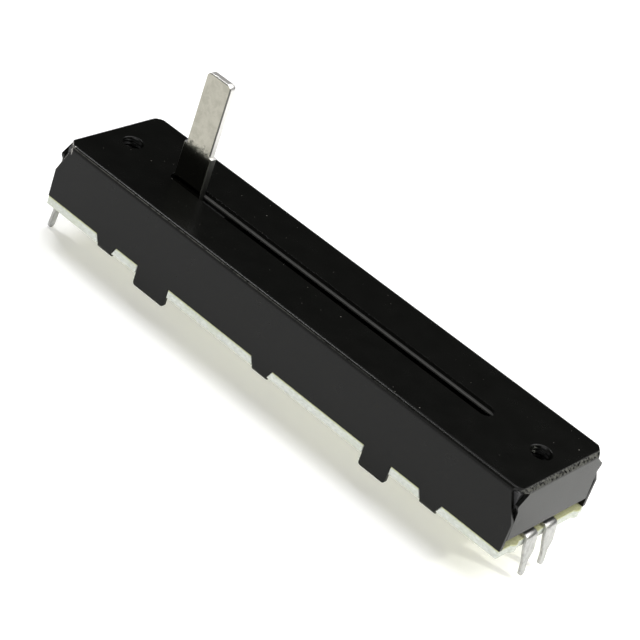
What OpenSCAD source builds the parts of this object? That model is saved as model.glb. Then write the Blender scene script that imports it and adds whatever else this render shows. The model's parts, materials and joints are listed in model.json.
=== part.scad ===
// Slide potentiometer with a folded steel cover, a base board and a steel lever.
// The origin is the middle of the two screw holes, on the top face of the cover.
// X runs along the travel, Y runs to the rear wall, and Z points up out of the panel face.
// The lever is drawn at its left stop.

/* [Travel] */
// Mechanical travel of the lever between its stops
travel = 45.7; // [30:0.1:100]
// Gap left between the carrier and a stop buffer
stop_gap = 0.05; // [0.02:0.01:0.2]
// Radial running clearance of the carrier on its guide rods
running_gap = 0.05; // [0.02:0.01:0.1]
// Gap between pieces that are assembled side by side
fit_gap = 0.05; // [0.02:0.01:0.1]

/* [Cover] */
// Width over the long walls
cover_width = 16.4; // [14:0.1:20]
// Height from the board's top to the panel face
cover_height = 8; // [7:0.1:10]
// Thickness of the steel sheet
sheet = 0.5; // [0.4:0.05:0.6]
// Inner radius of the folds
fold_inner_r = 0.15; // [0.05:0.05:0.5]
// How far an end flap's root stands inside the ends of the long walls
flap_inset = 0.15; // [0:0.05:0.3]
// How far an end flap leans out on its way down
flap_lean = 0.15; // [0:0.05:0.5]
// Height of an end flap's lower edge above the board
flap_lift = 1.3; // [1.1:0.05:2]
// Height of the flap's ears, measured down from the panel face
ear_drop = 2.1; // [2:0.1:2.4]
// Height over which an ear runs back to the flap's lower part
ear_slope = 0.7; // [0.5:0.05:1]
// How far the ears stand back from the outer faces of the long walls
ear_in = 0.2; // [0.05:0.05:0.3]
// Side clearance between a flap's lower part and the long walls
flap_side_gap = 0.1; // [0.05:0.05:0.4]
// How far the corner notch of a long wall reaches in from its end, at the top
notch_in = 1.5; // [1.4:0.1:2]
// Depth of that notch below the panel face
notch_drop = 4.2; // [3.8:0.1:4.4]
// Size of the corner cut in the panel face, across the width
corner_cut = 1.4; // [1:0.05:2]
// Drop of that corner cut on the end flaps
corner_drop = 1.8; // [1.4:0.1:2]

/* [Slot and screw holes] */
// Width of the lever slot
slot_width = 2.2; // [1.8:0.1:3]
// Clearance at each end of the slot
slot_end_gap = 0.45; // [0.3:0.05:0.6]
// Distance of a screw hole from the end of the long walls
screw_in = 3.8; // [3.6:0.05:4]
// Radius of the tapped screw holes, at the thread's crest
screw_r = 1.25; // [1.1:0.05:1.4]
// Radius of the rounded entry of a screw hole
screw_entry_r = 0.2; // [0.15:0.05:0.5]
// Wall of the drawn collar round a screw hole
collar_wall = 0.5; // [0.4:0.05:0.6]
// Depth of the drawn collar below the panel face
collar_depth = 1.7; // [1.4:0.1:2]

/* [Tabs] */
// Distance of the left clinch tab from the left end of the long walls
clinch_left_in = 10.4; // [9:0.1:12]
// Distance of the right clinch tab from the right end of the long walls
clinch_right_in = 10.1; // [9:0.1:12]
// Place of the middle clinch tab
clinch_mid_x = 0.2; // [-1:0.1:1]
// Width of a clinch tab at its root
clinch_root = 3.3; // [3:0.1:3.6]
// Width of a clinch tab at its bend
clinch_tip = 2.3; // [2:0.1:2.6]
// Length of a clinch tab's foot under the board
clinch_foot = 1.7; // [1.4:0.1:2.5]
// Distance of the wide anchor tab from the left end of the long walls
anchor_wide_in = 18.5; // [17:0.1:20]
// Width of the wide anchor tab
anchor_wide = 5.2; // [4.8:0.1:5.6]
// Distance of the narrow anchor tab from the right end of the long walls
anchor_narrow_in = 18.05; // [17:0.05:20]
// Width of the narrow anchor tab
anchor_narrow = 4; // [3.6:0.1:4.4]
// Length of the anchor tabs below the long walls
anchor_drop = 2.6; // [2:0.1:3.5]
// Corner radius of the anchor tabs
anchor_corner_r = 0.4; // [0.2:0.1:0.6]

/* [Base board] */
// Thickness of the base board
board_t = 1.1; // [0.8:0.1:1.6]
// How far the board's ends stand inside the ends of the long walls
board_inset = 0.1; // [0:0.05:0.3]
// Clearance round a tab in its board notch
notch_gap = 0.12; // [0.05:0.01:0.2]
// Radius of the snapped nibs on the board's ends
nib_r = 1; // [0.6:0.1:1.1]
// How far the nibs stand out
nib_out = 0.3; // [0.2:0.05:0.4]
// Distance of the front nib from the board's front edge
nib_front_in = 3; // [1.6:0.1:3.1]
// Distance of the rear nibs from the board's rear edge
nib_rear_in = 1.3; // [1.2:0.1:2.4]

/* [Tracks] */
// Thickness of the printed tracks and pads
print_t = 0.04; // [0.02:0.01:0.06]
// Distance of the resistive track from the front wall's inner face
resistive_in = 2.3; // [2:0.1:2.6]
// Width of the resistive track
resistive_w = 3; // [2.6:0.1:3.2]
// Distance of the collector track from the rear wall's inner face
collector_in = 3.8; // [3.4:0.1:4]
// Width of the collector track
collector_w = 2.6; // [2.4:0.1:3]
// Length of track beyond the contact's travel at each end
track_extra = 2; // [1.5:0.1:3]
// Distance of a silver pad from the board's end
pad_in = 0.7; // [0.5:0.1:0.9]
// Length of the strip that joins a silver pad to its track
pad_neck = 0.8; // [0.6:0.1:1]
// Distance of that strip from the rivet's head
pad_neck_gap = 0.4; // [0.2:0.1:0.6]

/* [Terminals] */
// Thickness of a terminal
terminal_t = 0.4; // [0.3:0.05:0.5]
// Width of a terminal's blade
blade_w = 2.1; // [1.8:0.1:2.4]
// Width of a terminal's pin
pin_w = 0.9; // [0.7:0.1:1]
// Drop of the point where the blade's rear side starts to narrow
blade_drop = 2.2; // [1.8:0.1:2.6]
// Drop of the point where the blade's front side starts to narrow
blade_front_drop = 1.1; // [0.9:0.1:1.6]
// Drop of the point where the blade has narrowed to the pin
taper_drop = 3.3; // [3:0.1:4]
// Drop of the right pins' tips below the board's top
pin_drop = 5.1; // [4.8:0.1:7]
// Drop of the left pin's tip below the board's top
left_pin_drop = 5.9; // [4.8:0.1:7]
// How far the pin's tip leans out past the bend
pin_lean = 0.6; // [0.1:0.05:0.8]
// Distance of the left terminal's centre from the front wall's inner face
left_terminal_in = 2.4; // [2.2:0.1:3]
// Centre of the right front terminal
front_terminal_y = -2.45; // [-2.8:0.05:-2.4]
// Centre of the right rear terminal
rear_terminal_y = 1.3; // [1.1:0.05:1.4]
// Length of a terminal's base behind its rivet
base_tail = 1.2; // [1.1:0.1:1.3]
// Distance of a terminal's rivet from the board's end
rivet_in = 2.2; // [2:0.1:2.4]
// Radius of a rivet's shank
rivet_r = 0.6; // [0.5:0.05:0.7]
// Radius of a rivet's heads
rivet_head_r = 1; // [0.9:0.05:1.1]
// Height of a rivet's heads
rivet_head_h = 0.35; // [0.25:0.05:0.4]

/* [Lever] */
// Width of the lever's blade
lever_w = 3.9; // [3.4:0.1:4.4]
// Thickness of the lever
lever_t = 1; // [0.8:0.05:1.2]
// Height of the lever above the panel face
lever_h = 14.85; // [8:0.05:25]
// Height of the lever's shoulders above the panel face
shoulder_h = 5; // [3:0.1:6]
// How far each shoulder stands out beside the blade
shoulder_step = 0.37; // [0.2:0.01:0.6]
// Radius of the lever's top corners
lever_corner_r = 0.8; // [0.5:0.05:1.2]
// Chamfer along the lever's edges
lever_chamfer = 0.13; // [0.05:0.01:0.2]
// Width of the lever's foot inside the carrier
lever_foot_w = 8; // [7:0.1:9]
// Height of the lever's foot
lever_foot_h = 1.6; // [1.2:0.1:2]
// Height of the lever's foot above the carrier's underside
foot_lift = 1.1; // [0.8:0.1:1.4]

/* [Carrier] */
// Length of the carrier along the travel
carrier_length = 11.8; // [11:0.1:12]
// Gap between the cover's inner face and the carrier's top
carrier_top_gap = 0.6; // [0.5:0.05:0.8]
// Height of the carrier's underside above the board
carrier_lift = 1.7; // [1.5:0.1:2]
// Wall of the carrier's bushings round the guide rods
bushing_wall = 0.8; // [0.7:0.05:0.9]
// Side gap between the bushings and the long walls
bushing_side_gap = 0.15; // [0.1:0.05:0.3]
// Width by which the carrier's body takes in the bushings
bushing_bite = 0.35; // [0.3:0.05:0.5]
// Full length of a rod's bore at each end of the carrier
bore_length = 3; // [2:0.1:4]
// Width of the wall between the carrier's body and the relief in a bore
relief_wall = 0.2; // [0.1:0.05:0.4]
// Radius of a guide rod
rod_r = 0.8; // [0.7:0.05:0.9]
// Depth of a guide rod's axis below the panel face
rod_drop = 2.9; // [2.8:0.05:3.2]

/* [Wiper] */
// Thickness of the wiper's spring sheet
wiper_t = 0.15; // [0.1:0.01:0.2]
// Width of one contact finger
finger_w = 0.5; // [0.4:0.05:0.6]
// Gap between the contact fingers
finger_gap = 0.25; // [0.2:0.05:0.3]
// Number of contact fingers on each track
fingers = 3; // [2:1:3]
// Clearance between a finger's tip and its track
contact_gap = 0.02; // [0.01:0.01:0.05]
// Half the length of a finger's contact line
tip_half = 0.3; // [0.2:0.05:0.4]
// Height by which a finger's end turns up
tip_rise = 0.6; // [0.4:0.1:0.8]
// Length of the wiper's plate along the travel
plate_length = 2.6; // [2.4:0.1:3]
// Distance of that plate from the carrier's left end
plate_in = 0.4; // [0.2:0.1:0.6]
// Radius of the carrier's staking post
stake_r = 0.6; // [0.5:0.05:0.7]
// Step from the post out to its formed head
stake_head_step = 0.4; // [0.2:0.05:0.5]
// Height of that head
stake_head_h = 0.35; // [0.25:0.05:0.45]

/* [End blocks and seals] */
// Thickness of a stop buffer
buffer_t = 0.6; // [0.4:0.05:0.8]
// Gap between a stop buffer and the guide rods
buffer_rod_gap = 1.1; // [0.6:0.1:2]
// Drop of a stop buffer's top below the carrier's top
buffer_drop = 1.2; // [0.8:0.1:1.6]
// Height of its underside above the carrier's underside
buffer_lift = 0.6; // [0.4:0.1:1]
// Length of an end block
block_length = 6.4; // [6.2:0.05:8]
// Height of an end block's seat above the board
block_lift = 2.4; // [2.2:0.1:2.6]
// Length of an end block's foot
block_foot = 2.2; // [2:0.1:2.4]
// Width of that foot beside the channel over the prints
channel_wall = 1.2; // [1:0.1:1.3]
// Clearance of the channel over the prints
channel_gap = 0.2; // [0.1:0.05:0.4]
// Radius of the pocket that takes a screw's tip
screw_pocket_r = 2.1; // [2:0.05:2.2]
// Thickness of the floor under that pocket
pocket_floor = 0.8; // [0.6:0.1:1]
// Length of a guide rod's seat in an end block
rod_seat = 4; // [3:0.1:5]
// Radial gap of a rod in its seat
rod_seat_gap = 0.01; // [0:0.01:0.03]
// Thickness of the dust lips
lip_t = 0.2; // [0.1:0.05:0.3]
// Width of a dust lip
lip_w = 2.6; // [2:0.1:3]
// Gap between a dust lip and the lever
lip_gap = 0.12; // [0.08:0.01:0.2]

/* [Hidden] */
$fn = 48;

// Heights
over = 1;
wall_bottom = -cover_height;
board_bottom = wall_bottom - board_t;
inner_top = -sheet;
fold_radius = sheet + fold_inner_r;

// Lengths from the middle of the part: the travel, a stop and an end block, then the cover
rest_x = -travel / 2;
block_in_x = travel / 2 + carrier_length / 2 + stop_gap + buffer_t;
block_out_x = block_in_x + block_length;
flap_x = block_out_x + fit_gap + sheet;
half_l = flap_x + flap_inset;
board_x = half_l - board_inset;
screw_x = half_l - screw_in;

// Widths from the middle of the part
half_w = cover_width / 2;
inner_half_w = half_w - sheet;
ear_half_w = half_w - ear_in;
block_half_w = inner_half_w - fit_gap;
bushing_r = rod_r + running_gap + bushing_wall;
rod_y = inner_half_w - bushing_side_gap - bushing_r;
carrier_half_w = rod_y - bushing_r + bushing_bite;
buffer_half_w = rod_y - rod_r - buffer_rod_gap;
// Nibs as [end, place]; the left front corner has none, as a terminal stands there
nib_places = [
    [1, nib_front_in - half_w], [1, half_w - nib_rear_in], [-1, half_w - nib_rear_in]
];
resistive_y = resistive_in + resistive_w / 2 - inner_half_w;
collector_y = inner_half_w - collector_in - collector_w / 2;
left_terminal_y = left_terminal_in - inner_half_w;

// Tabs, as [place, width]
clinch_x = [clinch_left_in - half_l, clinch_mid_x, half_l - clinch_right_in];
anchors = [[anchor_wide_in - half_l, anchor_wide], [half_l - anchor_narrow_in, anchor_narrow]];

// Lever and slot
lever_base_w = lever_w + 2 * shoulder_step;
slot_half = travel / 2 + lever_base_w / 2 + slot_end_gap;

// Carrier, wiper, rods and end blocks
carrier_top = inner_top - carrier_top_gap;
carrier_bottom = wall_bottom + carrier_lift;
foot_z = carrier_bottom + foot_lift;
plate_x = -carrier_length / 2 + plate_in;
finger_root = plate_x + plate_length;
stake_x = plate_x + plate_length / 2;
block_top = inner_top - fit_gap;
block_bottom = wall_bottom + block_lift;
rod_z = -rod_drop;
rod_end_x = block_in_x + rod_seat;

// Prints and terminals
print_top = wall_bottom + print_t;
track_half = travel / 2 + track_extra;
pad_x = board_x - pad_in;
rivet_x = board_x - rivet_in;
rivet_places = [
    [-rivet_x, left_terminal_y], [rivet_x, front_terminal_y], [rivet_x, rear_terminal_y]
];
terminal_gap = 0.1;
terminal_in_x = board_x + terminal_gap;
terminal_bend_r = 0.3;
terminal_z = print_top + terminal_t;
base_x = rivet_x - base_tail;

// Round prism along X, its axis through [y, z]
module rod_along_x(r, x0, x1, y, z) {
    translate([x0, y, z])
        rotate([0, 90, 0])
            cylinder(r = r, h = x1 - x0);
}

// Extrusion along X of a drawing given in [y, z]
module along_x(x0, x1) {
    translate([x0, 0, 0])
        rotate([90, 0, 90])
            linear_extrude(height = x1 - x0)
                children();
}

// Extrusion along Y of a drawing given in [x, z]
module along_y(y0, y1) {
    translate([0, y1, 0])
        rotate([90, 0, 0])
            linear_extrude(height = y1 - y0)
                children();
}

// Section of a folded edge: a flat top that turns down at [edge, 0] and leans out below
module fold_section(inside, edge, bottom, lean) {
    bend = [edge - fold_radius, -fold_radius];
    inner_face = [[edge - sheet, -fold_radius], [edge + lean - sheet, bottom]];
    difference() {
        union() {
            translate([inside, -sheet])
                square([edge - fold_radius - inside, sheet]);
            translate(bend)
                circle(r = fold_radius);
            polygon(concat(inner_face, [[edge + lean, bottom], [edge, -fold_radius]]));
        }
        translate(bend)
            circle(r = fold_inner_r);
        translate([inside, -2 * fold_radius])
            square([edge - fold_radius - inside, 2 * fold_radius - sheet]);
        polygon(concat(inner_face, [[inside, bottom], [inside, -fold_radius]]));
    }
}

// One long wall with its fold, on the rear side
module long_wall() {
    difference() {
        along_x(-half_l, half_l)
            fold_section(half_w - 2 * fold_radius, half_w, wall_bottom, 0);
        for (side = [-1, 1])
            scale([side, 1, 1])
                along_y(half_w - 3 * fold_radius, half_w + over)
                    polygon([
                        [half_l - notch_in, over],
                        [half_l - notch_in, -fold_radius],
                        [half_l, -notch_drop],
                        [half_l + over, -notch_drop],
                        [half_l + over, over]
                    ]);
    }
}

// End flap on the right, with ears beside the wall notches
module end_flap() {
    low = inner_half_w - flap_side_gap;
    rear_side = concat(
        [[half_w - fold_radius, over]],
        [for (a = [90:-15:0])
            [half_w - fold_radius * (1 - cos(a)), -fold_radius * (1 - sin(a))]],
        [[ear_half_w - corner_cut, -fold_radius], [ear_half_w, -corner_drop],
         [ear_half_w, -ear_drop], [low, -ear_drop - ear_slope], [low, wall_bottom]]
    );
    intersection() {
        along_y(-half_w, half_w)
            fold_section(half_l - notch_in - over, flap_x, wall_bottom + flap_lift, flap_lean);
        along_x(half_l - notch_in, flap_x + flap_lean + over)
            polygon(concat(
                rear_side,
                [for (i = [len(rear_side) - 1:-1:0]) [-rear_side[i][0], rear_side[i][1]]]
            ));
    }
}

// Clinch tab on the rear side: it tapers, and its foot turns in under the board
module clinch_tab() {
    bend_in = fit_gap;
    foot_top = board_bottom - bend_in;
    foot_bottom = foot_top - sheet;
    bend_out = bend_in + sheet;
    intersection() {
        along_x(-clinch_root / 2, clinch_root / 2)
            difference() {
                union() {
                    translate([inner_half_w, foot_bottom + bend_out])
                        square([sheet, wall_bottom + over - foot_bottom - bend_out]);
                    translate([half_w - bend_out, foot_bottom + bend_out])
                        circle(r = bend_out);
                    translate([half_w - clinch_foot, foot_bottom])
                        square([clinch_foot - bend_out, sheet]);
                }
                translate([half_w - bend_out, foot_bottom + bend_out])
                    circle(r = bend_in);
                translate([half_w - 3 * bend_out, foot_bottom + sheet])
                    square([2 * bend_out, 2 * bend_out]);
                translate([half_w - 3 * bend_out, foot_bottom + bend_out])
                    square([3 * bend_out - sheet, 2 * bend_out]);
            }
        along_y(half_w - clinch_foot - over, half_w + over)
            clinch_outline(0);
    }
}

// Front view of a clinch tab, grown by a gap on each side
module clinch_outline(gap) {
    root = clinch_root / 2 + gap;
    tip = clinch_tip / 2 + gap;
    polygon([
        [-root, wall_bottom + over], [root, wall_bottom + over], [root, wall_bottom],
        [tip, board_bottom + fit_gap], [tip, board_bottom - over],
        [-tip, board_bottom - over], [-tip, board_bottom + fit_gap], [-root, wall_bottom]
    ]);
}

// Anchor tab on the rear side, with rounded corners
module anchor_tab(x, w) {
    tip = wall_bottom - anchor_drop;
    along_y(inner_half_w, half_w)
        union() {
            translate([x - w / 2, tip + anchor_corner_r])
                square([w, anchor_drop + over - anchor_corner_r]);
            translate([x - w / 2 + anchor_corner_r, tip])
                square([w - 2 * anchor_corner_r, anchor_corner_r + over]);
            for (side = [-1, 1])
                translate([x + side * (w / 2 - anchor_corner_r), tip + anchor_corner_r])
                    circle(r = anchor_corner_r);
        }
}

// Drawn collar of a screw hole
module screw_collar(x) {
    translate([x, 0, -collar_depth])
        cylinder(r = screw_r + collar_wall, h = collar_depth - sheet / 2);
}

// Screw hole with its rounded entry
module screw_hole(x) {
    translate([x, 0, -collar_depth - over])
        cylinder(r = screw_r, h = collar_depth + 2 * over);
    translate([x, 0, 0])
        rotate_extrude()
            difference() {
                translate([0, -screw_entry_r])
                    square([screw_r + screw_entry_r, screw_entry_r + over]);
                translate([screw_r + screw_entry_r, -screw_entry_r])
                    circle(r = screw_entry_r);
            }
}

// Lever slot with round ends, for a given half width
module slot_cut(half, r) {
    for (side = [-1, 1])
        translate([side * (half - r), 0, -2 * sheet])
            cylinder(r = r, h = 4 * sheet);
    translate([-half + r, -r, -2 * sheet])
        cube([2 * half - 2 * r, 2 * r, 4 * sheet]);
}

module cover() {
    color("#1b1b1b")
        difference() {
            union() {
                translate([-flap_x + 2 * fold_radius, -half_w + fold_radius, -sheet])
                    cube([2 * flap_x - 4 * fold_radius, cover_width - 2 * fold_radius, sheet]);
                for (side = [-1, 1]) {
                    scale([1, side, 1])
                        long_wall();
                    scale([side, 1, 1])
                        end_flap();
                    screw_collar(side * screw_x);
                    for (x = clinch_x)
                        translate([x, 0, 0])
                            scale([1, side, 1])
                                clinch_tab();
                    for (tab = anchors)
                        scale([1, side, 1])
                            anchor_tab(tab[0], tab[1]);
                }
            }
            for (side = [-1, 1]) {
                screw_hole(side * screw_x);
                for (across = [-1, 1])
                    scale([side, across, 1])
                        translate([0, 0, -fold_radius])
                            linear_extrude(height = fold_radius + over)
                                polygon([
                                    [half_l - notch_in, half_w + over],
                                    [half_l - notch_in, ear_half_w],
                                    [flap_x, ear_half_w - corner_cut],
                                    [flap_x + over, ear_half_w - corner_cut],
                                    [flap_x + over, half_w + over]
                                ]);
            }
            slot_cut(slot_half, slot_width / 2);
        }
}

// Snapped nib at a board end, kept to the part that stands out
module board_nib(y) {
    translate([board_x + nib_out - nib_r, y, board_bottom])
        cylinder(r = nib_r, h = board_t);
}

module base_board() {
    color("#9aa06a")
        difference() {
            union() {
                translate([-board_x, -half_w, board_bottom])
                    cube([2 * board_x, cover_width, board_t]);
                for (place = nib_places)
                    scale([place[0], 1, 1])
                        board_nib(place[1]);
            }
            for (side = [-1, 1])
                scale([1, side, 1]) {
                    for (x = clinch_x)
                        along_y(inner_half_w - notch_gap, half_w + over)
                            translate([x, 0])
                                clinch_outline(notch_gap);
                    for (tab = anchors)
                        translate([tab[0] - tab[1] / 2 - notch_gap, inner_half_w - notch_gap,
                                   board_bottom - over])
                            cube([tab[1] + 2 * notch_gap, sheet + over, board_t + 2 * over]);
                }
            for (p = rivet_places)
                translate([p[0], p[1], board_bottom - over])
                    cylinder(r = rivet_r, h = board_t + 2 * over);
        }
}

// Printed strip on the board's top
module print_strip(x0, x1, y, w) {
    translate([x0, y - w / 2, wall_bottom])
        cube([x1 - x0, w, print_t]);
}

module resistive_track() {
    color("#202022")
        print_strip(-track_half, track_half, resistive_y, resistive_w);
}

module collector_track() {
    color("#3a3a3c")
        print_strip(-track_half, track_half, collector_y, collector_w);
}

// Silver pad from a track's end to a terminal, with the rivet's hole
module silver_pad(y, w, terminal_y) {
    neck_x = rivet_x - rivet_head_r - pad_neck_gap;
    neck_low = min(y - w / 2, terminal_y - blade_w / 2);
    neck_high = max(y + w / 2, terminal_y + blade_w / 2);
    difference() {
        union() {
            print_strip(track_half, neck_x, y, w);
            print_strip(neck_x, pad_x, terminal_y, blade_w);
            translate([neck_x - pad_neck, neck_low, wall_bottom])
                cube([pad_neck, neck_high - neck_low, print_t]);
        }
        translate([rivet_x, terminal_y, wall_bottom - over])
            cylinder(r = rivet_r, h = 2 * over);
    }
}

module left_silver_pad() {
    color("#c9c9c4")
        scale([-1, 1, 1])
            silver_pad(resistive_y, resistive_w, left_terminal_y);
}

module right_silver_pad() {
    color("#c9c9c4")
        silver_pad(resistive_y, resistive_w, front_terminal_y);
}

module collector_silver_pad() {
    color("#c9c9c4")
        silver_pad(collector_y, collector_w, rear_terminal_y);
}

// Side view of a terminal in [x, z]: flat base, bend, then a blade and pin that lean out
module terminal_side(drop) {
    bend_out = terminal_bend_r + terminal_t;
    tip_x = terminal_in_x + pin_lean;
    tip_z = wall_bottom - drop;
    bend_z = terminal_z - bend_out;
    bend_x = terminal_in_x - terminal_bend_r;
    difference() {
        union() {
            translate([base_x, print_top])
                square([bend_x - base_x, terminal_t]);
            translate([bend_x, bend_z])
                circle(r = bend_out);
            polygon([
                [terminal_in_x, bend_z], [tip_x, tip_z], [tip_x + terminal_t, tip_z],
                [terminal_in_x + terminal_t, bend_z]
            ]);
        }
        translate([bend_x, bend_z])
            circle(r = terminal_bend_r);
        translate([bend_x - bend_out - over, bend_z - bend_out - over])
            square([bend_out + over, bend_out + over + terminal_bend_r]);
        polygon([
            [bend_x - over, bend_z], [terminal_in_x, bend_z],
            [tip_x, tip_z], [bend_x - over, tip_z]
        ]);
    }
}

// Front view of a terminal in [y, z], which narrows to a pin with a round tip
module terminal_front(drop) {
    top_z = wall_bottom + over;
    tip_r = pin_w / 2;
    tip_z = wall_bottom - drop + tip_r;
    polygon(concat(
        [[-blade_w / 2, top_z], [blade_w / 2, top_z], [blade_w / 2, wall_bottom - blade_drop],
         [pin_w / 2, wall_bottom - taper_drop]],
        [for (a = [0:-20:-180]) [tip_r * cos(a), tip_z + tip_r * sin(a)]],
        [[-pin_w / 2, wall_bottom - taper_drop], [-blade_w / 2, wall_bottom - blade_front_drop]]
    ));
}

// Formed terminal on the right end, centred on a given line, with the drop of its tip
module terminal(y, drop) {
    difference() {
        translate([0, y, 0])
            intersection() {
                along_y(-blade_w, blade_w)
                    terminal_side(drop);
                along_x(base_x - over, terminal_in_x + 2 * over)
                    terminal_front(drop);
            }
        translate([rivet_x, y, print_top - over])
            cylinder(r = rivet_r, h = terminal_t + 2 * over);
    }
}

module left_terminal() {
    color("#c8c8c6")
        scale([-1, 1, 1])
            terminal(left_terminal_y, left_pin_drop);
}

module right_front_terminal() {
    color("#c8c8c6")
        terminal(front_terminal_y, pin_drop);
}

module right_rear_terminal() {
    color("#c8c8c6")
        terminal(rear_terminal_y, pin_drop);
}

// Rivet through a terminal, its pad and the board
module rivet() {
    translate([0, 0, board_bottom - rivet_head_h])
        cylinder(r = rivet_head_r, h = rivet_head_h);
    translate([0, 0, board_bottom - rivet_head_h])
        cylinder(r = rivet_r, h = terminal_z - board_bottom + 2 * rivet_head_h);
    translate([0, 0, terminal_z])
        cylinder(r = rivet_head_r, h = rivet_head_h);
}

module terminal_rivets() {
    color("#b8b4a0")
        for (p = rivet_places)
            translate([p[0], p[1], 0])
                rivet();
}

// Moulded end block on the right, with a foot, rod seats and a pocket for a screw's tip
module end_block() {
    difference() {
        union() {
            translate([block_in_x, -block_half_w, block_bottom])
                cube([block_out_x - block_in_x, 2 * block_half_w, block_top - block_bottom]);
            translate([block_in_x, -block_half_w, wall_bottom])
                cube([block_foot, 2 * block_half_w, block_lift + over]);
        }
        // Channel over the prints
        translate([block_in_x - over, -block_half_w + channel_wall, wall_bottom - over])
            cube([block_foot + 2 * over, 2 * (block_half_w - channel_wall),
                  over + print_t + channel_gap]);
        // Room for the folds of the cover
        for (side = [-1, 1])
            scale([1, side, 1])
                translate([block_in_x - over, block_half_w - fold_inner_r, block_top - fold_inner_r])
                    cube([block_length + 2 * over, fold_inner_r + over, fold_inner_r + over]);
        translate([block_out_x - fold_inner_r, -half_w, block_top - fold_inner_r])
            cube([fold_inner_r + over, cover_width, fold_inner_r + over]);
        // Pocket under the screw hole
        translate([screw_x, 0, block_bottom + pocket_floor])
            cylinder(r = screw_pocket_r, h = cover_height);
        for (side = [-1, 1])
            rod_along_x(rod_r + rod_seat_gap, block_in_x - over, rod_end_x + fit_gap,
                        side * rod_y, rod_z);
    }
}

module left_end_block() {
    color("#2b2c2e")
        scale([-1, 1, 1])
            end_block();
}

module right_end_block() {
    color("#2b2c2e")
        end_block();
}

// Soft buffer on the right end block's inner face
module stop_buffer() {
    low = carrier_bottom + buffer_lift;
    translate([block_in_x - buffer_t, -buffer_half_w, low])
        cube([buffer_t, 2 * buffer_half_w, carrier_top - buffer_drop - low]);
}

module left_stop_buffer() {
    color("#3c3c3c")
        scale([-1, 1, 1])
            stop_buffer();
}

module right_stop_buffer() {
    color("#3c3c3c")
        stop_buffer();
}

module front_guide_rod() {
    color("#c4c6c8")
        rod_along_x(rod_r, -rod_end_x, rod_end_x, -rod_y, rod_z);
}

module rear_guide_rod() {
    color("#c4c6c8")
        rod_along_x(rod_r, -rod_end_x, rod_end_x, rod_y, rod_z);
}

// Dust lip under the slot's rear edge
module dust_lip() {
    lip_in = lever_t / 2 + lip_gap;
    translate([-slot_half - over, lip_in, inner_top - lip_t])
        cube([2 * slot_half + 2 * over, lip_w, lip_t]);
}

module front_dust_lip() {
    color("#141414")
        scale([1, -1, 1])
            dust_lip();
}

module rear_dust_lip() {
    color("#141414")
        dust_lip();
}

// Stamped lever at the middle of the travel
module lever_body() {
    intersection() {
        along_y(-lever_t, lever_t)
            union() {
                translate([-lever_w / 2, foot_z + lever_foot_h])
                    square([lever_w, lever_h - lever_corner_r - foot_z - lever_foot_h]);
                translate([-lever_w / 2 + lever_corner_r, shoulder_h])
                    square([lever_w - 2 * lever_corner_r, lever_h - shoulder_h]);
                for (side = [-1, 1])
                    translate([side * (lever_w / 2 - lever_corner_r), lever_h - lever_corner_r])
                        circle(r = lever_corner_r);
                translate([-lever_base_w / 2, foot_z + lever_foot_h / 2])
                    square([lever_base_w, shoulder_h - foot_z - lever_foot_h / 2]);
                translate([-lever_foot_w / 2, foot_z])
                    square([lever_foot_w, lever_foot_h]);
            }
        along_x(-lever_foot_w, lever_foot_w)
            polygon([
                [-lever_t / 2, foot_z - over], [lever_t / 2, foot_z - over],
                [lever_t / 2, lever_h - lever_chamfer], [lever_t / 2 - lever_chamfer, lever_h],
                [-lever_t / 2 + lever_chamfer, lever_h], [-lever_t / 2, lever_h - lever_chamfer]
            ]);
        union() {
            translate([0, 0, shoulder_h - over])
                linear_extrude(height = lever_h - shoulder_h + 2 * over)
                    chamfered_bar(lever_w);
            translate([0, 0, foot_z + lever_foot_h])
                linear_extrude(height = shoulder_h - foot_z - lever_foot_h)
                    chamfered_bar(lever_base_w);
            translate([0, 0, foot_z - over])
                linear_extrude(height = lever_foot_h + over)
                    square([lever_foot_w, lever_t], center = true);
        }
    }
}

// Plan of the lever's bar, with chamfered edges
module chamfered_bar(w) {
    c = lever_chamfer;
    x = w / 2;
    y = lever_t / 2;
    polygon([
        [-x + c, -y], [x - c, -y], [x, -y + c], [x, y - c],
        [x - c, y], [-x + c, y], [-x, y - c], [-x, -y + c]
    ]);
}

module lever() {
    color("#c9c5b8")
        translate([rest_x, 0, 0])
            lever_body();
}

// Moulded carrier at the middle of the travel, closed round the lever's foot
module carrier_body() {
    half = carrier_length / 2;
    arm_z = rod_z - bushing_r;
    relief_y = carrier_half_w + relief_wall;
    difference() {
        union() {
            translate([-half, -carrier_half_w, carrier_bottom])
                cube([carrier_length, 2 * carrier_half_w, carrier_top - carrier_bottom]);
            for (side = [-1, 1])
                scale([1, side, 1]) {
                    rod_along_x(bushing_r, -half, half, rod_y, rod_z);
                    translate([-half, carrier_half_w - over, arm_z])
                        cube([carrier_length, rod_y + over - carrier_half_w, 2 * bushing_r]);
                }
            translate([stake_x, 0, carrier_bottom - wiper_t - stake_head_h])
                stake_post();
        }
        for (side = [-1, 1])
            rod_along_x(rod_r + running_gap, -half - over, half + over, side * rod_y, rod_z);
        // Relief in the middle of each rod bore's underside
        for (side = [-1, 1])
            scale([1, side, 1])
                translate([-half + bore_length, relief_y, arm_z - over])
                    cube([carrier_length - 2 * bore_length, rod_y + bushing_r + over - relief_y,
                          rod_z - arm_z + over]);
        // Moulded pocket that holds the lever
        translate([-lever_foot_w / 2, -lever_t / 2, foot_z])
            cube([lever_foot_w, lever_t, lever_foot_h]);
        translate([0, 0, foot_z + lever_foot_h / 2])
            linear_extrude(height = cover_height)
                chamfered_bar(lever_base_w);
    }
}

// Staking post with its formed head
module stake_post() {
    cylinder(r = stake_r + stake_head_step, h = stake_head_h);
    cylinder(r = stake_r, h = stake_head_h + wiper_t + over);
}

module slider_carrier() {
    color("#d8d6cf")
        translate([rest_x, 0, 0])
            carrier_body();
}

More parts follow.
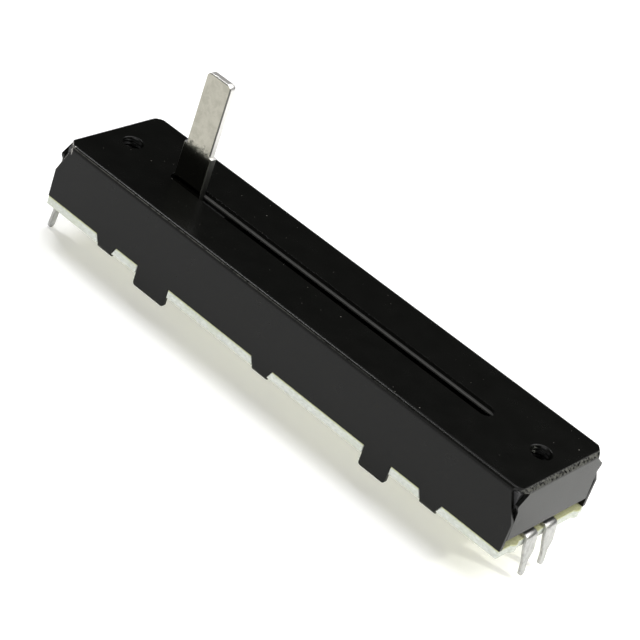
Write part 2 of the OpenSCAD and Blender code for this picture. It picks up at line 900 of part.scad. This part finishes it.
// Side view of a contact finger in [x, z]: it slopes down to the track and turns up
module finger_side() {
    top = carrier_bottom;
    low = print_top + contact_gap;
    inner_half = tip_half - wiper_t / 2;
    end_x = tip_half + tip_rise;
    polygon([
        [finger_root, top], [finger_root, top - wiper_t],
        [-tip_half, low], [tip_half, low], [end_x, low + tip_rise],
        [end_x, low + tip_rise + wiper_t * sqrt(2)], [inner_half, low + wiper_t],
        [-inner_half, low + wiper_t]
    ]);
}

module wiper_spring() {
    pitch = finger_w + finger_gap;
    span = (fingers - 1) * pitch + finger_w;
    color("#b98d4f")
        translate([rest_x, 0, 0])
            difference() {
                union() {
                    translate([plate_x, resistive_y - span / 2, carrier_bottom - wiper_t])
                        cube([plate_length, collector_y - resistive_y + span, wiper_t]);
                    for (y = [resistive_y, collector_y], i = [0:fingers - 1])
                        translate([0, y - span / 2 + i * pitch, 0])
                            along_y(0, finger_w)
                                finger_side();
                }
                translate([stake_x, 0, carrier_bottom - wiper_t - over])
                    cylinder(r = stake_r, h = 2 * over);
            }
}

cover();
base_board();
resistive_track();
collector_track();
left_silver_pad();
right_silver_pad();
collector_silver_pad();
left_terminal();
right_front_terminal();
right_rear_terminal();
terminal_rivets();
left_end_block();
right_end_block();
left_stop_buffer();
right_stop_buffer();
front_guide_rod();
rear_guide_rod();
front_dust_lip();
rear_dust_lip();
slider_carrier();
lever();
wiper_spring();
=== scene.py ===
"""Looks of a slide potentiometer: black steel cover, nickel-plated lever, board and terminals.

The CAD nodes stay as packed. Copies with rounded edges stand for the nodes that show, and every
surface has a procedural material. Lengths are in metres in the shared frame. Inside the materials,
and in names that end in _MM, they are in millimetres.
"""

import json
import math

import bmesh
import bpy
import numpy as np
from mathutils import Matrix, Vector


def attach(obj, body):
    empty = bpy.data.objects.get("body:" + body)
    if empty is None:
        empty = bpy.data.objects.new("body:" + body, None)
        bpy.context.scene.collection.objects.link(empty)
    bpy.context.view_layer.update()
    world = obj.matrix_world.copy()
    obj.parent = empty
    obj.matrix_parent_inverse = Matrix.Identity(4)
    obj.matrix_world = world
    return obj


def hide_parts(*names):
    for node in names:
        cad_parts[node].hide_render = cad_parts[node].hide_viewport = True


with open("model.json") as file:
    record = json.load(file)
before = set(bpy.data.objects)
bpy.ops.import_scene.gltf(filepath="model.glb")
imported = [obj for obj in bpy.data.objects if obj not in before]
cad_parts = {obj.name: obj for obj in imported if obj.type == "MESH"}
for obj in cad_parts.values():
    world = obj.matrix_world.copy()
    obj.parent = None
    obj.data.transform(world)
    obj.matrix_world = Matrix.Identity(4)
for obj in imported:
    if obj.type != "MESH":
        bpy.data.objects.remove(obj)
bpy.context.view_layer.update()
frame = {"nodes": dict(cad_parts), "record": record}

MM = 0.001
FOLD_END_MM = 35.0
SCREW_X_MM = 32.7
SCREW_R_MM = 1.25
BORE_TOP_MM = -0.2
BORE_LOW_MM = -1.7
BOARD_TOP_MM = -8.0
BOARD_LOW_MM = -9.1
SHOULDER_MM = 5.0
LEVER_FACE_MM = 0.5
LEVER_EDGE_X_MM = -20.9
PIN_TIP_MM = -13.9

MERGE_M = 2e-6
FLAT_ANGLE = math.radians(0.4)
CORNER_ANGLE = math.radians(40)

CAMERA_PLACE = (0.119881, -0.196426, 0.138585)
CAMERA_AZIMUTH, CAMERA_ELEVATION, CAMERA_ROLL = 31.272, 31.825, 19.793
CAMERA_LENS, CAMERA_SENSOR = 131.91, 36.0


# Shader graphs


class Value:
    """A socket of a material's node tree. Arithmetic on it adds Math nodes."""

    def __init__(self, look, socket):
        self.look, self.socket = look, socket

    def math(self, operation, *rest):
        return self.look.node("Math", {"operation": operation}, [self, *rest])

    def __add__(self, other):
        return self.math("ADD", other)

    def __radd__(self, other):
        return self.math("ADD", other)

    def __sub__(self, other):
        return self.math("SUBTRACT", other)

    def __rsub__(self, other):
        return self.look.node("Math", {"operation": "SUBTRACT"}, [other, self])

    def __mul__(self, other):
        return self.math("MULTIPLY", other)

    def __rmul__(self, other):
        return self.math("MULTIPLY", other)

    def __truediv__(self, other):
        return self.math("DIVIDE", other)

    def __abs__(self):
        return self.math("ABSOLUTE")

    def least(self, other):
        return self.math("MINIMUM", other)

    def most(self, other):
        return self.math("MAXIMUM", other)

    def ramp(self, painted_reflection, high):
        """0 below low and 1 above high, with a smooth step between, or the other way round."""
        return self.look.node(
            "MapRange",
            {"interpolation_type": "SMOOTHSTEP"},
            {"Value": self, "From Min": painted_reflection, "From Max": high},
        )


class Look:
    """A material with one Principled shader. Its place p is in millimetres."""

    def __init__(self, name, fixed):
        self.material = bpy.data.materials.new(name)
        self.material.use_nodes = True
        self.tree = self.material.node_tree
        self.tree.nodes.clear()
        self.shader = self.tree.nodes.new("ShaderNodeBsdfPrincipled")
        out = self.tree.nodes.new("ShaderNodeOutputMaterial")
        self.tree.links.new(self.shader.outputs[0], out.inputs[0])
        for socket, value in fixed.items():
            self.shader.inputs[socket].default_value = value
        coordinates = self.node("TexCoord", out="Object")
        self.p = self.node("VectorMath", {"operation": "SCALE"}, {0: coordinates, "Scale": 1000.0})
        self.x, self.y, self.z = (self.node("SeparateXYZ", {}, [self.p], out=i) for i in range(3))

    def node(self, kind, settings=None, inputs=None, out=0):
        """Adds one node: its settings first, then its values and links."""
        made = self.tree.nodes.new("ShaderNode" + kind)
        for key, value in (settings or {}).items():
            setattr(made, key, value)
        pairs = inputs.items() if isinstance(inputs, dict) else enumerate(inputs or [])
        for key, value in pairs:
            if isinstance(value, Value):
                self.tree.links.new(value.socket, made.inputs[key])
            else:
                made.inputs[key].default_value = value
        return Value(self, made.outputs[out])

    def noise(self, scale, detail=2.0, roughness=0.5, distortion=0.0, stretch=None):
        """Noise from 0 to 1 with scale features a millimetre, drawn out by stretch."""
        place = self.p
        if stretch:
            place = self.node("VectorMath", {"operation": "MULTIPLY"}, {0: place, 1: stretch})
        return self.node(
            "TexNoise",
            {},
            {
                "Vector": place,
                "Scale": scale,
                "Detail": detail,
                "Roughness": roughness,
                "Distortion": distortion,
            },
        )

    def specks(self, scale, share, radius, seed=0.0):
        """Round marks of up to radius millimetres in that share of the cells, as a mask."""
        place = self.node("VectorMath", {"operation": "ADD"}, {0: self.p, 1: (seed, seed, seed)})
        fine = {"Vector": place, "Scale": 9.0, "Detail": 1.0}
        wobble = self.node("TexNoise", {}, fine, out="Color")
        drift = self.node("VectorMath", {"operation": "SCALE"}, {0: wobble, "Scale": 0.09})
        place = self.node("VectorMath", {"operation": "ADD"}, [place, drift])
        cells = {"Vector": place, "Scale": scale}
        distance = self.node("TexVoronoi", {}, cells, out="Distance") / scale
        chance = self.node("SeparateColor", {}, [self.node("TexVoronoi", {}, cells, out="Color")])
        size = chance.ramp(1.0 - share, 1.0) * radius
        chosen = chance.math("GREATER_THAN", 1.0 - share)
        return (distance / size.most(0.0001)).ramp(1.0, 0.7) * chosen

    def mix(self, factor, a, b):
        return self.node("Mix", {"data_type": "RGBA"}, {0: factor, 6: a, 7: b}, out=2)

    def bump(self, height, distance_mm):
        """Normal of a relief whose height, from 0 to 1, stands for that distance."""
        inputs = {"Height": height, "Distance": distance_mm * MM, "Strength": 1.0}
        return self.node("Bump", {}, inputs)

    def set(self, **links):
        """Links values to the shader: set(Base_Color=..., Roughness=...)."""
        for key, value in links.items():
            self.tree.links.new(value.socket, self.shader.inputs[key.replace("_", " ")])
        return self.material


def black_paint():
    """Satin black paint on sheet steel, with orange peel, dust, rubbed end folds, a painted
    highlight line on the long folds and bare cut rims.
    """
    look = Look("black_paint", {"IOR": 1.27})
    x, y, z = look.x, look.y, look.z
    peel = look.noise(3.2, 2.0) * 0.6 + look.noise(11.0, 2.0) * 0.4
    cloud = look.noise(0.35, 3.0)
    top = z.ramp(-0.5, -0.1)
    dust = look.specks(1.5, 0.055, 0.085) * 0.5 + look.specks(3.1, 0.03, 0.05, 7.0) * 0.4
    dust = dust * (top * 0.85 + 0.15)
    hair = look.specks(1.1, 0.02, 0.1, 3.0)
    # The wall's notch runs in x and z from (35, -0.65) to (36.5, -4.2), square to (0.921, 0.389).
    # The corner cut runs along |x| + |y| = 42.97.
    notch = abs((abs(x) - FOLD_END_MM) * 0.921 + (z + 0.65) * 0.389)
    notch = notch.ramp(0.09, 0.03) * z.ramp(-4.3, -4.0) * abs(y).ramp(7.6, 7.7)
    corner = abs(abs(x) + abs(y) - 42.97).ramp(0.1, 0.04) * z.ramp(-1.2, -0.9)
    rims = (notch + corner).least(1.0) * look.noise(6.0, 3.0).ramp(0.38, 0.6)
    worn = rims * x.ramp(0.0, -30.0) * 0.6
    # Handling has rubbed the paint on the end folds to broken grey lines. On the long folds a thin
    # grey line is a painted highlight. Round the end folds |x| - z runs from 35.7 to 37, and round
    # the long folds |y| - z runs from 7.55 to 8.85.
    round_end = abs(x) - z
    end_fold = round_end.ramp(35.8, 36.0) * round_end.ramp(36.9, 36.7) * abs(y).ramp(7.6, 7.4)
    # On the long folds a thin grey line is painted as a highlight, bright at the left and fading to
    # the right
    round_side = abs(y) - z
    long_fold_highlight = round_side.ramp(8.12, 8.18) * round_side.ramp(8.34, 8.28) * x.ramp(30.0, -15.0)
    long_fold_highlight = long_fold_highlight * abs(y).ramp(7.4, 7.5) * z.ramp(-0.9, -0.7)
    rubbed_and_highlight = end_fold * look.noise(3.4, 4.0, 0.7).ramp(0.40, 0.6)
    rubbed_and_highlight = (rubbed_and_highlight + long_fold_highlight * look.noise(1.6, 3.0, 0.6).ramp(0.3, 0.55) * 0.6).least(1.0)
    paint = look.mix(cloud, (0.0018, 0.0019, 0.0016, 1), (0.0030, 0.0031, 0.0026, 1))
    # Grey for the rubbed end folds and for the painted highlight on the long folds
    paint = look.mix(rubbed_and_highlight, paint, (0.075, 0.075, 0.066, 1))
    colour = look.mix((dust + hair * 0.25).least(1.0), paint, (0.26, 0.25, 0.22, 1))
    return look.set(
        Base_Color=look.mix(worn, colour, (0.52, 0.50, 0.47, 1)),
        Metallic=worn,
        Roughness=0.19 + cloud * 0.08 + dust * 0.4 + rubbed_and_highlight * 0.2 + look.noise(7.0, 3.0) * 0.05,
        Normal=look.bump(peel, 0.004),
    )


def nickel():
    """Nickel plate on a stamped lever: rolled faces that mirror, and duller sheared edges."""
    look = Look("nickel_plate", {"Metallic": 1.0})
    x, y, z = look.x, look.y, look.z
    rolled = abs(y).ramp(LEVER_FACE_MM - 0.06, LEVER_FACE_MM - 0.02)
    lines = look.noise(1.0, 4.0, 0.6, stretch=(0.5, 0.5, 13.0))
    pits = look.specks(4.0, 0.12, 0.06, 2.0)
    stain = look.noise(0.9, 4.0, 0.6, 0.5)
    dull = 1.0 - rolled
    # Below the shoulders the plate is painted near black, with a speckled border: a painted
    # reflection of the black cover top
    border = z + (look.noise(2.6, 4.0, 0.7) - 0.5) * 3.2
    painted_reflection = border.ramp(SHOULDER_MM + 1.0, SHOULDER_MM - 0.3)
    painted_reflection = painted_reflection * z.ramp(SHOULDER_MM - 0.03, SHOULDER_MM - 0.1).most(rolled)
    face = look.mix(stain.ramp(0.35, 0.7), (0.36, 0.348, 0.295, 1), (0.30, 0.292, 0.245, 1))
    colour = look.mix(dull, face, (0.80, 0.79, 0.76, 1))
    # A thin dark line runs along the blade's front right edge
    dark_edge_line = abs(x - LEVER_EDGE_X_MM + 0.05).ramp(0.11, 0.06)
    dark_edge_line = dark_edge_line * y.ramp(-0.3, -0.36) * z.ramp(SHOULDER_MM, SHOULDER_MM + 0.4)
    # Paints the dark reflection below the shoulders, and the thin dark edge line, in one near-black
    # colour
    colour = look.mix((painted_reflection * 0.92).most(dark_edge_line * 0.85), colour, (0.03, 0.032, 0.025, 1))
    return look.set(
        Base_Color=look.mix(pits * 0.35, colour, (0.22, 0.20, 0.17, 1)),
        Roughness=0.08 + lines * 0.06 + pits * 0.2 + dull * 0.3,
        Normal=look.bump(lines * 0.8 + look.noise(14.0, 2.0) * 0.2, 0.001),
    )


def tin(name, colour, dull):
    """Tin plate with soft mottling and a slightly uneven surface."""
    look = Look(name, {"Metallic": 1.0})
    mottle = look.noise(2.2, 4.0, 0.6)
    grey = tuple(c * 0.72 for c in colour) + (1,)
    return look.set(
        Base_Color=look.mix(mottle.ramp(0.35, 0.75), colour + (1,), grey),
        Roughness=dull + mottle * 0.18,
        Normal=look.bump(look.noise(5.0, 3.0), 0.012),
    )


def laminate():
    """Board of pressed paper and resin: olive faces, and pale cut edges with faint layers."""
    look = Look("laminate", {"IOR": 1.5})
    z = look.z
    fibre = look.noise(3.0, 5.0, 0.65, 0.4, stretch=(1.0, 1.0, 2.2))
    layers = look.noise(1.0, 2.0, 0.5, stretch=(0.4, 0.4, 16.0))
    blotch = look.noise(0.55, 3.0)
    face = z.ramp(BOARD_TOP_MM - 0.05, BOARD_TOP_MM - 0.01)
    face = face.most(z.ramp(BOARD_LOW_MM + 0.05, BOARD_LOW_MM + 0.01))
    olive = look.mix(fibre.ramp(0.3, 0.7), (0.34, 0.34, 0.19, 1), (0.44, 0.44, 0.27, 1))
    edge = look.mix(fibre.ramp(0.3, 0.72), (0.36, 0.38, 0.34, 1), (0.55, 0.57, 0.53, 1))
    edge = look.mix(layers.ramp(0.55, 0.75) * 0.35, edge, (0.33, 0.36, 0.27, 1))
    edge = look.mix(blotch.ramp(0.5, 0.72) * 0.5, edge, (0.40, 0.43, 0.33, 1))
    brim = z.ramp(BOARD_TOP_MM - 0.26, BOARD_TOP_MM - 0.04) * 0.75
    edge = look.mix(brim, edge, (0.30, 0.33, 0.13, 1))
    return look.set(
        Base_Color=look.mix(face, edge, olive),
        Roughness=0.5 + fibre * 0.3 - face * 0.15,
        Normal=look.bump(fibre * 0.7 + look.noise(16.0, 2.0) * 0.3, 0.02),
    )


def moulded(name, colour, rough, grain_mm=0.006):
    """Moulded plastic or rubber with a fine eroded texture and faint flow marks."""
    look = Look(name, {"IOR": 1.5})
    grain = look.noise(8.0, 4.0, 0.6)
    flow = look.noise(0.5, 3.0, 0.5, 1.5)
    darker = tuple(c * 0.78 for c in colour) + (1,)
    return look.set(
        Base_Color=look.mix(flow.ramp(0.3, 0.75), colour + (1,), darker),
        Roughness=rough + grain * 0.15,
        Normal=look.bump(grain, grain_mm),
    )


def ink(name, colour, metal, rough):
    """Printed ink with a screen's fine grain and slightly uneven cover."""
    look = Look(name, {"IOR": 1.5})
    grain = look.noise(12.0, 3.0, 0.6)
    cover = look.noise(1.1, 3.0)
    lighter = tuple(min(1.0, c * 1.35) for c in colour) + (1,)
    return look.set(
        Base_Color=look.mix(cover.ramp(0.35, 0.7), colour + (1,), lighter),
        Metallic=metal * grain.ramp(0.2, 0.5),
        Roughness=rough + grain * 0.2,
        Normal=look.bump(grain, 0.004),
    )


def drawn_metal(name, colour, rough, stretch):
    """Ground or rolled metal with fine lines drawn out along its length."""
    look = Look(name, {"Metallic": 1.0})
    lines = look.noise(1.0, 3.0, 0.6, stretch=stretch)
    stain = look.noise(0.7, 3.0)
    darker = tuple(c * 0.8 for c in colour) + (1,)
    return look.set(
        Base_Color=look.mix(stain.ramp(0.35, 0.75), colour + (1,), darker),
        Roughness=rough + lines * 0.12,
        Normal=look.bump(lines, 0.003),
    )


MATERIALS = {
    "black_painted_steel": black_paint(),
    "nickel_plated_steel": nickel(),
    "board_laminate": laminate(),
    "tinned_terminal": tin("tin_plate", (0.44, 0.44, 0.43), 0.28),
    "tinned_rivet": tin("rivet_tin", (0.62, 0.60, 0.53), 0.3),
    "dark_plastic": moulded("dark_plastic", (0.022, 0.022, 0.023), 0.42),
    "buffer_rubber": moulded("buffer_rubber", (0.03, 0.03, 0.03), 0.65, 0.01),
    "carrier_plastic": moulded("carrier_plastic", (0.026, 0.026, 0.025), 0.4),
    "dust_lip_film": moulded("dust_lip_film", (0.03, 0.03, 0.028), 0.5, 0.002),
    "carbon_ink": ink("carbon_ink", (0.012, 0.012, 0.013), 0.0, 0.42),
    "collector_ink": ink("collector_ink", (0.05, 0.05, 0.052), 0.25, 0.4),
    "silver_ink": ink("silver_ink", (0.62, 0.61, 0.58), 1.0, 0.38),
    "rod_steel": drawn_metal("rod_steel", (0.58, 0.58, 0.59), 0.16, (0.4, 18.0, 18.0)),
    "contact_bronze": drawn_metal("contact_bronze", (0.72, 0.50, 0.27), 0.22, (0.5, 16.0, 16.0)),
}


# Pieces

BODY_OF = {
    node: body
    for body, nodes in frame["record"]["behaviour"]["bodies"].items()
    for node in nodes
}


def add_mesh(name, vertices, faces, material, body):
    """A new smooth mesh at the origin that rides on a body."""
    mesh = bpy.data.meshes.new(name)
    mesh.from_pydata(vertices, [], faces)
    mesh.polygons.foreach_set("use_smooth", [True] * len(mesh.polygons))
    mesh.materials.append(material)
    made = bpy.data.objects.new(name, mesh)
    bpy.context.scene.collection.objects.link(made)
    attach(made, body)
    return made


def rounded_copy(node, slot, width_mm, segments=2, left_out=None, kept_sharp=None):
    """A merged copy of a CAD node with rounded edges, which stands for the node.

    left_out and kept_sharp tell of a point whether faces there are left out, and edges left sharp.
    """
    work = bmesh.new()
    work.from_mesh(frame["nodes"][node].data)
    bmesh.ops.remove_doubles(work, verts=work.verts, dist=MERGE_M)
    if left_out:
        faces = [f for f in work.faces if all(left_out(v.co) for v in f.verts)]
        bmesh.ops.delete(work, geom=faces, context="FACES")
    bmesh.ops.dissolve_limit(work, angle_limit=FLAT_ANGLE, verts=work.verts, edges=work.edges)
    work.verts.index_update()
    vertices = [v.co[:] for v in work.verts]
    faces = [[v.index for v in f.verts] for f in work.faces]
    cornered = {
        frozenset(v.index for v in e.verts) for e in work.edges
        if len(e.link_faces) == 2 and e.calc_face_angle() > CORNER_ANGLE
        and not (kept_sharp and all(kept_sharp(v.co) for v in e.verts))
    }
    work.free()
    made = add_mesh(node + "_rounded", vertices, faces, MATERIALS[slot], BODY_OF[node])
    weights = [float(frozenset(e.vertices) in cornered) for e in made.data.edges]
    attribute = made.data.attributes.new("bevel_weight_edge", "FLOAT", "EDGE")
    attribute.data.foreach_set("value", weights)
    bevel = made.modifiers.new("edges", "BEVEL")
    bevel.width = width_mm * MM
    bevel.segments = segments
    bevel.limit_method = "WEIGHT"
    bevel.use_clamp_overlap = False
    bevel.miter_outer = "MITER_ARC"
    normals = made.modifiers.new("normals", "WEIGHTED_NORMAL")
    normals.weight = 50
    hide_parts(node)


def in_bore(point):
    """Whether a point lies on the wall of a screw hole, below its rounded entry."""
    radius = math.hypot(abs(point.x) / MM - SCREW_X_MM, point.y / MM)
    return abs(radius - SCREW_R_MM) < 0.03 and point.z / MM < BORE_TOP_MM + 0.02


def at_fold_end(point):
    """Whether a point lies on the short profile where a long fold ends at a corner relief."""
    x, y, z = abs(point.x) / MM, abs(point.y) / MM, point.z / MM
    return abs(x - FOLD_END_MM) < 0.1 and y > 7.4 and z > -0.9


def screw_thread(name, side):
    """The tapped bore of a screw hole as one surface.

    With u = z / pitch - a / (2 pi), its radius is r(a, z) = crest + depth * e(z) * |2 frac(u) - 1|.
    e(z) runs from 0 at both ends to 1 within a quarter of a pitch.
    """
    pitch, depth, around, along = 0.5, 0.2, 96, 72
    a, z = np.meshgrid(
        np.linspace(0, 2 * np.pi, around, endpoint=False),
        np.linspace(BORE_TOP_MM, BORE_LOW_MM, along),
        indexing="ij",
    )
    fade = np.clip(np.minimum(BORE_TOP_MM - z, z - BORE_LOW_MM) / (pitch / 4), 0, 1)
    r = SCREW_R_MM + depth * fade * np.abs(2 * np.mod(z / pitch - a / (2 * np.pi), 1) - 1)
    points = np.stack([side * SCREW_X_MM + r * np.cos(a), r * np.sin(a), z], axis=-1) * MM
    i, j = np.meshgrid(np.arange(around), np.arange(along - 1), indexing="ij")
    k = (i + 1) % around
    faces = np.stack([i * along + j, i * along + j + 1, k * along + j + 1, k * along + j], axis=-1)
    add_mesh(
        name,
        points.reshape(-1, 3).tolist(),
        faces.reshape(-1, 4).tolist(),
        MATERIALS["black_painted_steel"],
        "housing",
    )


rounded_copy("cover", "black_painted_steel", 0.035, left_out=in_bore, kept_sharp=at_fold_end)
screw_thread("left_screw_thread", -1)
screw_thread("right_screw_thread", 1)
rounded_copy("lever", "nickel_plated_steel", 0.03)
rounded_copy("base_board", "board_laminate", 0.03)
rounded_copy("left_terminal", "tinned_terminal", 0.05)
rounded_copy("right_front_terminal", "tinned_terminal", 0.05)
rounded_copy("right_rear_terminal", "tinned_terminal", 0.05)
rounded_copy("terminal_rivets", "tinned_rivet", 0.14, segments=3)
rounded_copy("left_end_block", "dark_plastic", 0.06)
rounded_copy("right_end_block", "dark_plastic", 0.06)
rounded_copy("slider_carrier", "carrier_plastic", 0.06)
rounded_copy("left_stop_buffer", "buffer_rubber", 0.08)
rounded_copy("right_stop_buffer", "buffer_rubber", 0.08)
rounded_copy("front_guide_rod", "rod_steel", 0.1)
rounded_copy("rear_guide_rod", "rod_steel", 0.1)

for node, slot in {
    "resistive_track": "carbon_ink",
    "collector_track": "collector_ink",
    "left_silver_pad": "silver_ink",
    "right_silver_pad": "silver_ink",
    "collector_silver_pad": "silver_ink",
    "front_dust_lip": "dust_lip_film",
    "rear_dust_lip": "dust_lip_film",
    "wiper_spring": "contact_bronze",
}.items():
    shown = frame["nodes"][node]
    shown.data.materials.clear()
    shown.data.materials.append(MATERIALS[slot])


# Stage


def floor():
    """A plain pale floor under the pin tips."""
    look = Look("pale_floor", {
        "Roughness": 0.7,
        "Specular IOR Level": 0.2,
        "Emission Color": (1, 1, 1, 1),
        "Emission Strength": 0.2,
    })
    tone = look.noise(0.02, 2.0)
    look.set(Base_Color=look.mix(tone, (0.85, 0.85, 0.85, 1), (0.87, 0.87, 0.87, 1)))
    half, z = 4.0, (PIN_TIP_MM - 0.02) * MM
    mesh = bpy.data.meshes.new("floor")
    corners = [(-half, -half, z), (half, -half, z), (half, half, z), (-half, half, z)]
    mesh.from_pydata(corners, [], [(0, 1, 2, 3)])
    mesh.materials.append(look.material)
    made = bpy.data.objects.new("floor", mesh)
    bpy.context.scene.collection.objects.link(made)


def light(kind, name, direction, distance, target=(0, 0, 0), **settings):
    """A light that shines from a direction towards a target in millimetres."""
    data = bpy.data.lights.new(name, kind)
    for key, value in settings.items():
        setattr(data, key, value)
    made = bpy.data.objects.new(name, data)
    bpy.context.scene.collection.objects.link(made)
    away = Vector(direction).normalized()
    made.location = Vector(target) * MM + away * distance
    made.rotation_mode = "QUATERNION"
    made.rotation_quaternion = away.to_track_quat("Z", "Y")


def camera():
    """The photo's camera, turned by azimuth and elevation, then rolled about its line of sight."""
    turns = (CAMERA_AZIMUTH, CAMERA_ELEVATION, CAMERA_ROLL)
    azimuth, elevation, roll = (math.radians(v) for v in turns)
    back = Vector((
        math.sin(azimuth) * math.cos(elevation),
        -math.cos(azimuth) * math.cos(elevation),
        math.sin(elevation),
    ))
    level = Vector((0, 0, 1)).cross(back).normalized()
    upright = back.cross(level)
    right = level * math.cos(roll) + upright * math.sin(roll)
    up = back.cross(right)
    data = bpy.data.cameras.new("camera")
    data.lens, data.sensor_width = CAMERA_LENS, CAMERA_SENSOR
    data.clip_start, data.clip_end = 0.01, 50.0
    made = bpy.data.objects.new("camera", data)
    bpy.context.scene.collection.objects.link(made)
    turn = Matrix((right, up, back)).transposed()
    made.matrix_world = Matrix.Translation(CAMERA_PLACE) @ turn.to_4x4()
    bpy.context.scene.camera = made


floor()
light("SUN", "key", (0.25, 0.30, 0.92), 1.0, energy=3.3, angle=math.radians(70))
light("AREA", "fold_line", (-0.52, 0.05, 0.85), 0.5,
      energy=0.7, shape="RECTANGLE", size=0.05, size_y=0.2)
light("AREA", "fold_fill", (-0.45, -0.82, 0.35), 0.9, energy=1.0, shape="SQUARE", size=0.6)
light("AREA", "low_fill", (0.35, -0.88, 0.32), 0.9,
      energy=6.5, shape="RECTANGLE", size=0.8, size_y=0.3)
# Lights the floor that the right end flap mirrors
light("SPOT", "right_pool", (0.75, 0.25, 0.60), 0.45, (55, 20, PIN_TIP_MM),
      energy=7.5, color=(1.0, 1.0, 0.86),
      spot_size=math.radians(9), spot_blend=0.8, shadow_soft_size=0.03)
world = bpy.data.worlds.new("studio")
world.use_nodes = True
world.node_tree.nodes["Background"].inputs[0].default_value = (0.02, 0.02, 0.021, 1)
bpy.context.scene.world = world
bpy.context.scene.view_settings.view_transform = "Standard"
camera()
